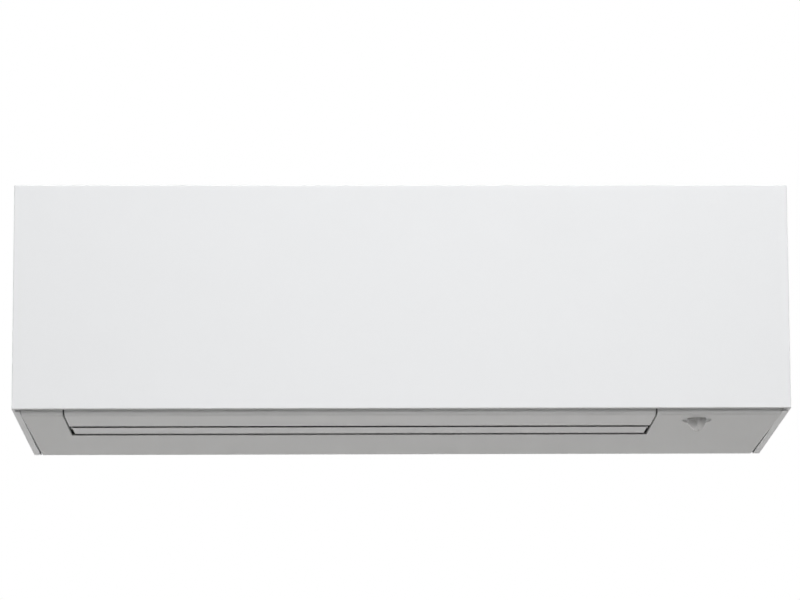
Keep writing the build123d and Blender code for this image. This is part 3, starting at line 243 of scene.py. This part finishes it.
looks = {
    "panel_white": moulded("panel_white", (0.862, 0.872, 0.885), 0.30, 0.0011, 0.00004,
                           0.0008, 0.012, 0.15),
    "casing_white": moulded("casing_white", (0.800, 0.808, 0.812), 0.46, 0.0007, 0.00012, 0.0007, 0.018),
    "flap_white": moulded("flap_white", (0.812, 0.820, 0.826), 0.36, 0.0009, 0.00006, 0.0006, 0.015),
    # inner plastic: the duct's inner plastic, darkened to near black as painted shade so the slots
    # between flap, slat and cover look dark
    "inner_plastic": moulded("inner_plastic", (0.105, 0.108, 0.112), 0.52, 0.0008, 0.00015,
                             0.0005, 0.04),
    "vane_plastic": moulded("vane_plastic", (0.70, 0.71, 0.72), 0.46, 0.0007, 0.0001, 0.0004, 0.03),
    "fan_plastic": moulded("fan_plastic", (0.035, 0.037, 0.042), 0.44, 0.0006, 0.0001, 0.0003, 0.10),
    "motor_resin": moulded("motor_resin", (0.56, 0.56, 0.54), 0.56, 0.0012, 0.0002, 0.0008, 0.06),
    "box_plastic": moulded("box_plastic", (0.34, 0.35, 0.36), 0.50, 0.0008, 0.00015, 0.0006, 0.04),
    "terminal_plastic": moulded("terminal_plastic", (0.035, 0.035, 0.036), 0.40, 0.0006, 0.0001,
                                0.0004, 0.08),
    "bezel_white": moulded("bezel_white", (0.780, 0.788, 0.790), 0.42, 0.0007, 0.00008, 0.0006, 0.012),
    "filter_net": moulded("filter_net", (0.16, 0.18, 0.21), 0.60, 0.0005, 0.0001, 0.0003, 0.10),
    "zinc_sheet": sheet_zinc("zinc_sheet", (0.60, 0.62, 0.63)),
    "fin_aluminium": metal("fin_aluminium", (0.72, 0.78, 0.84), 0.34, (1.0, 0.2, 0.2),
                           (0.60, 0.70, 0.80), 0.03),
    "copper": metal("copper", (0.86, 0.47, 0.31), 0.30, (0.1, 1.0, 1.0), (0.52, 0.26, 0.17)),
    "brass_nut": metal("brass_nut", (0.83, 0.64, 0.30), 0.28, (1.0, 0.1, 0.1),
                       (0.60, 0.44, 0.20), 0.006),
    "steel": metal("steel", (0.58, 0.58, 0.59), 0.26, (1.0, 0.1, 0.1)),
    "screw_zinc": metal("screw_zinc", (0.70, 0.70, 0.68), 0.34, (1.0, 1.0, 1.0),
                        (0.58, 0.58, 0.52), 0.003),
    "stepper_steel": metal("stepper_steel", (0.60, 0.60, 0.58), 0.36, (0.2, 1.0, 1.0)),
    "rubber_black": rubber("rubber_black", (0.022, 0.022, 0.024)),
    "board_green": board("board_green", (0.020, 0.095, 0.050)),
    "lens_white": milky("lens_white", (0.95, 0.95, 0.945)),
}


def dress(piece, slot):
    piece.data.materials.clear()
    piece.data.materials.append(looks[slot])
    return piece


for name, piece in nodes.items():
    for spot in piece.material_slots:
        spot.material = looks[slots[name]]


# ---- mesh helpers ----
def new_piece(name, mesh_maker, body, slot, replaced=()):
    """A mesh object from a bmesh filler, riding on a body."""
    mesh = bpy.data.meshes.new(name)
    bm = bmesh.new()
    mesh_maker(bm)
    bm.to_mesh(mesh)
    bm.free()
    piece = bpy.data.objects.new(name, mesh)
    bpy.context.scene.collection.objects.link(piece)
    dress(piece, slot)
    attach(piece, body)
    if replaced:
        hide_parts(*replaced)
    return piece


def add_box(bm, low, high):
    """A box between two corners."""
    x, y, z = zip(low, high)
    spots = [bm.verts.new((x[i], y[j], z[k])) for i in (0, 1) for j in (0, 1) for k in (0, 1)]
    for face in ((0, 1, 3, 2), (4, 6, 7, 5), (0, 4, 5, 1), (2, 3, 7, 6), (0, 2, 6, 4), (1, 5, 7, 3)):
        bm.faces.new([spots[i] for i in face])


# ---- heat exchanger: fins and tubes in place of the solid packs ----
fin_pitch = 0.0016
fin_thickness = 0.00016
tube_radius = 0.0035
tube_pitch = 0.021
tube_rows = 0.0127
tubes_per_row = 4
tube_sides = 14


def pack_frame(name):
    """Middle of a fin pack's section, its long direction and the lengths of its sides."""
    spots = {(round(v.co.y, 6), round(v.co.z, 6)) for v in nodes[name].data.vertices}
    spots = [Vector(p) for p in spots]
    middle = sum(spots, Vector((0.0, 0.0))) / len(spots)
    corners = sorted(spots, key=lambda p: -(p - middle).length)[:4]
    first = corners[0]
    sides = sorted(corners[1:], key=lambda p: (p - first).length)
    across, along = sides[0] - first, sides[1] - first
    return middle, along.normalized(), along.length, across.length


def fill_fins(name):
    def fill(bm):
        middle, along, length, width = pack_frame(name)
        side = Vector((-along.y, along.x))
        low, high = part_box(name)
        count = int((high[0] - low[0]) / fin_pitch)
        corners = ((-1, -1), (1, -1), (1, 1), (-1, 1))
        ring = [middle + along * a * length / 2 + side * b * width / 2 for a, b in corners]
        for i in range(count + 1):
            x = low[0] + (high[0] - low[0] - fin_thickness) * i / count
            near = [bm.verts.new((x, *p)) for p in ring]
            far = [bm.verts.new((x + fin_thickness, *p)) for p in ring]
            bm.faces.new(near[::-1])
            bm.faces.new(far)
            for k in range(4):
                bm.faces.new((near[k], near[(k + 1) % 4], far[(k + 1) % 4], far[k]))
    return fill


def fill_tubes(name):
    def fill(bm):
        middle, along, length, width = pack_frame(name)
        side = Vector((-along.y, along.x))
        low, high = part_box(name)
        for row in (-0.5, 0.5):
            for i in range(tubes_per_row):
                at = middle + side * row * tube_rows + along * (i - (tubes_per_row - 1) / 2) * tube_pitch
                add_tube(bm, at, low[0], high[0], tube_radius, tube_sides)
    return fill


def add_tube(bm, at, x0, x1, r, sides):
    """A round tube along X, closed at its ends."""
    turns = [2 * math.pi * k / sides for k in range(sides)]
    circle = [(at[0] + r * math.cos(a), at[1] + r * math.sin(a)) for a in turns]
    rings = [[bm.verts.new((x, y, z)) for y, z in circle] for x in (x0, x1)]
    for k in range(sides):
        bm.faces.new((rings[0][k], rings[1][k], rings[1][(k + 1) % sides], rings[0][(k + 1) % sides]))
    bm.faces.new(rings[0])
    bm.faces.new(rings[1][::-1])


for name in [n for n in nodes if n.startswith("fin_pack_")]:
    new_piece(name.replace("fin_pack", "fins"), fill_fins(name), "root", "fin_aluminium", (name,))
    new_piece(name.replace("fin_pack", "tubes"), fill_tubes(name), "root", "copper")


# ---- air filters: a soft ribbed frame with a real net ----
net_pitch = 0.0016
strand = 0.00042
frame_width = 0.006
frame_thickness = 0.0024
filter_bend = 0.0335
bend_steps = 12
upright_ribs = 4
cross_ribs = (0.0, 0.235, 0.47, 0.70, 1.0)     # shares of the filter's length
cross_share = 0.98         # cross ribs are this much of the frame's thickness
weft_share = 0.8           # cross strands are this much of an upright strand
end_inset = 0.0005         # cross ribs and strands stop short of the filter's ends
tab_half = 0.018
tab_reach = 0.0035         # the tab stands this far out of the frame
tab_foot = 0.001           # the tab's lower and upper faces above the frame's foot
tab_top = 0.0034


def band(name):
    """Points up a filter's middle surface and round to the back, each with its outward direction."""
    low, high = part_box(name)
    y = frame_face_y(name)
    top = high[2] - frame_thickness / 2
    centre = (y + filter_bend, top - filter_bend)
    points = [((y, low[2]), (-1.0, 0.0))]
    for k in range(bend_steps + 1):
        a = math.pi - math.pi / 2 * k / bend_steps
        out = (math.cos(a), math.sin(a))
        points.append(((centre[0] + filter_bend * out[0], centre[1] + filter_bend * out[1]), out))
    points.append(((high[1], top), (0.0, 1.0)))
    return points


def frame_face_y(name):
    """Middle of the filter's upright part, behind the tab's front face."""
    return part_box(name)[0][1] + tab_reach + frame_thickness / 2


def lengths(points):
    total = [0.0]
    for (p, _), (q, _) in zip(points, points[1:]):
        total.append(total[-1] + math.dist(p, q))
    return total


def at_length(points, total, s):
    """Point and outward direction at a length along the band."""
    s = min(max(s, 0.0), total[-1])
    k = max(i for i, t in enumerate(total) if t <= s + 1e-9)
    k = min(k, len(points) - 2)
    share = (s - total[k]) / (total[k + 1] - total[k])
    (p, a), (q, b) = points[k], points[k + 1]

    def between(u, v):
        return u + (v - u) * share

    return tuple(map(between, p, q)), tuple(map(between, a, b))


def strip(bm, points, x0, x1, t):
    """A strip of a thickness along the band between two X limits."""
    rows = []
    for (y, z), (oy, oz) in points:
        h = t / 2
        spots = ((x0, y + oy * h, z + oz * h), (x1, y + oy * h, z + oz * h),
                 (x1, y - oy * h, z - oz * h), (x0, y - oy * h, z - oz * h))
        rows.append([bm.verts.new(s) for s in spots])
    for a, b in zip(rows, rows[1:]):
        for k in range(4):
            bm.faces.new((a[k], a[(k + 1) % 4], b[(k + 1) % 4], b[k]))
    bm.faces.new(rows[0][::-1])
    bm.faces.new(rows[-1])


def stretch(points, total, s0, s1):
    """The part of the band between two lengths."""
    inner = [p for p, t in zip(points, total) if s0 + 1e-6 < t < s1 - 1e-6]
    return [at_length(points, total, s0), *inner, at_length(points, total, s1)]


def fill_frame(name):
    def fill(bm):
        low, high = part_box(name)
        points = band(name)
        total = lengths(points)
        for i in range(upright_ribs + 1):
            x = low[0] + (high[0] - low[0] - frame_width) * i / upright_ribs
            strip(bm, points, x, x + frame_width, frame_thickness)
        for share in cross_ribs:
            s = (total[-1] - frame_width) * share
            part = stretch(points, total, s, s + frame_width)
            strip(bm, part, low[0] + end_inset, high[0] - end_inset, cross_share * frame_thickness)
        middle = (low[0] + high[0]) / 2
        y = frame_face_y(name)
        add_box(bm, (middle - tab_half, y - frame_thickness / 2 - tab_reach, low[2] + tab_foot),
                (middle + tab_half, y, low[2] + tab_top))
    return fill


def fill_net(name):
    def fill(bm):
        low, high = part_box(name)
        points = band(name)
        total = lengths(points)
        count = int((high[0] - low[0]) / net_pitch)
        for i in range(1, count):
            x = low[0] + (high[0] - low[0]) * i / count
            strip(bm, points, x - strand / 2, x + strand / 2, strand)
        rows = int(total[-1] / net_pitch)
        for k in range(1, rows):
            middle = total[-1] * k / rows
            part = stretch(points, total, middle - strand / 2, middle + strand / 2)
            strip(bm, part, low[0] + end_inset, high[0] - end_inset, weft_share * strand)
    return fill


for side in ("left", "right"):
    name = "air_filter_" + side
    new_piece("filter_frame_" + side, fill_frame(name), "filter_" + side, "filter_net", (name,))
    new_piece("filter_mesh_" + side, fill_net(name), "filter_" + side, "filter_net")


# ---- camera ----
camera = bpy.data.cameras.new("camera")
camera.sensor_width = 36.0
camera.lens = focal_pixels / photo_width * camera.sensor_width
camera.clip_end = 60.0
eye = bpy.data.objects.new("camera", camera)
eye.location = camera_place
eye.rotation_mode = "XYZ"
bpy.context.scene.collection.objects.link(eye)
pitch, yaw, roll = (math.radians(a) for a in (camera_pitch, camera_yaw, camera_roll))
ahead = Vector((-math.sin(yaw) * math.cos(pitch), math.cos(yaw) * math.cos(pitch), math.sin(pitch)))
turn = ahead.to_track_quat("-Z", "Y").to_matrix().to_4x4()
eye.rotation_euler = (turn @ Matrix.Rotation(roll, 4, "Z")).to_euler("XYZ")
bpy.context.scene.camera = eye

# ---- studio ----
def seen_rays(tree):
    """1 for camera, mirror and see-through rays, and 0 for the rays that light the object."""
    path = tree.nodes.new("ShaderNodeLightPath")
    seen = path.outputs["Is Camera Ray"]
    for kind in ("Is Glossy Ray", "Is Transmission Ray"):
        either = tree.nodes.new("ShaderNodeMath")
        either.operation = "MAXIMUM"
        tree.links.new(seen, either.inputs[0])
        tree.links.new(path.outputs[kind], either.inputs[1])
        seen = either.outputs[0]
    return seen


world = bpy.data.worlds.new("studio")
bpy.context.scene.world = world
world.use_nodes = True
tree = world.node_tree
background = tree.nodes["Background"]
strength = tree.nodes.new("ShaderNodeMapRange")
strength.inputs["To Min"].default_value = ambient
strength.inputs["To Max"].default_value = 1.0
tree.links.new(seen_rays(tree), strength.inputs["Value"])
background.inputs["Color"].default_value = white
tree.links.new(strength.outputs["Result"], background.inputs["Strength"])


def lamp(name, place, aim, size, power, spread):
    light = bpy.data.lights.new(name, "AREA")
    light.shape = "RECTANGLE"
    light.size, light.size_y = size
    light.energy = power
    light.spread = math.radians(spread)
    piece = bpy.data.objects.new(name, light)
    piece.location = place
    piece.rotation_mode = "QUATERNION"
    piece.rotation_quaternion = (Vector(aim) - Vector(place)).to_track_quat("-Z", "Y")
    bpy.context.scene.collection.objects.link(piece)


lamp("key", (-0.9, -2.9, 1.88), (-0.3, -0.15, -0.1), (2.6, 1.2), 11.0, 64.0)
lamp("fill", (1.5, -2.9, 1.65), (0.3, -0.15, -0.1), (2.0, 1.2), 8.4, 64.0)
lamp("overhead", (0.0, -0.4, 3.2), (0.0, -0.4, 0.0), (7.0, 7.0), 55.0, 180.0)


def floor_mesh(bm):
    low = cad_box[0][2] - floor_drop
    corners = ((-1, -1), (1, -1), (1, 1), (-1, 1))
    bm.faces.new([bm.verts.new((x * floor_reach, y * floor_reach, low)) for x, y in corners])


mesh = bpy.data.meshes.new("floor")
bm = bmesh.new()
floor_mesh(bm)
bm.to_mesh(mesh)
bm.free()
floor = bpy.data.objects.new("floor", mesh)
bpy.context.scene.collection.objects.link(floor)
s = Shader("floor_white")
s.link(s.mix(s.noise(0.4, 3.0), floor_dark, floor_pale), s.bsdf.inputs["Base Color"])
s.put("Roughness", 0.7)
s.put("Emission Color", white)
glow = s.ramp(seen_rays(s.tree), 0.0, 1.0, 0.0, floor_glow)
s.link(glow, s.bsdf.inputs["Emission Strength"])
floor.data.materials.append(s.mat)

bpy.context.scene.view_settings.view_transform = "Standard"
